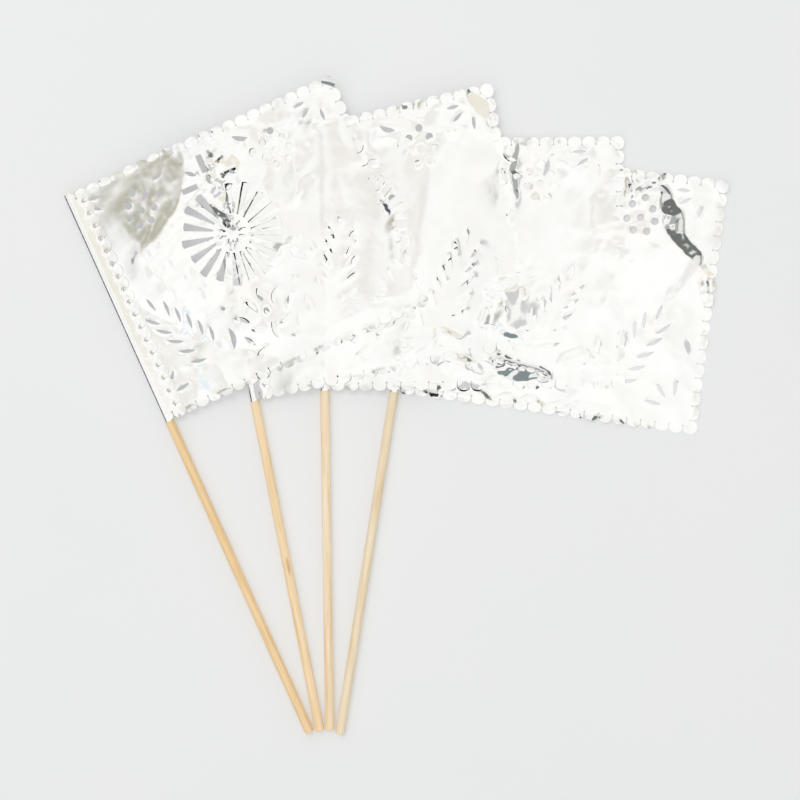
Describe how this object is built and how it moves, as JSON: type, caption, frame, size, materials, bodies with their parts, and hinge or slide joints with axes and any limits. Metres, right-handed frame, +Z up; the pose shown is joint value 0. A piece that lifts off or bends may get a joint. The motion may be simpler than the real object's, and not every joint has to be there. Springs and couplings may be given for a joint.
{
  "type": "foil party flag set",
  "caption": "Small die-cut silver foil flags on round wooden sticks, laid on top of each other in a fan, with scalloped borders and pierced leaf, berry and sunburst cuts.",
  "frame": {"origin": "middle of the layout's box, on the table under it", "axes": "+Z up from the table; +Y from the sticks' lower ends towards the foils; +X towards the lowest flag's far edge"},
  "size_m": [0.339, 0.335, 0.0066],
  "materials": {
    "wood": "pale smooth hardwood dowel, unvarnished",
    "foil": "mirror-silver metallised foil, lightly crinkled",
    "tape": "clear to milky double-sided tape"
  },
  "bodies": {
    "flag_1": {"flag_1_stick": "wood", "flag_1_foil": "foil", "flag_1_tape": "tape"},
    "flag_2": {"flag_2_stick": "wood", "flag_2_foil": "foil", "flag_2_tape": "tape"},
    "flag_3": {"flag_3_stick": "wood", "flag_3_foil": "foil", "flag_3_tape": "tape"},
    "flag_4": {"flag_4_stick": "wood", "flag_4_foil": "foil", "flag_4_tape": "tape"}
  },
  "joints": [
    {"name": "flag_3_lift", "type": "slide", "parent": "flag_4", "child": "flag_3", "axis": [0, 0, 1], "range_m": [0, 0.05]},
    {"name": "flag_2_lift", "type": "slide", "parent": "flag_3", "child": "flag_2", "axis": [0, 0, 1], "range_m": [0, 0.05]},
    {"name": "flag_1_lift", "type": "slide", "parent": "flag_2", "child": "flag_1", "axis": [0, 0, 1], "range_m": [0, 0.05]}
  ]
}
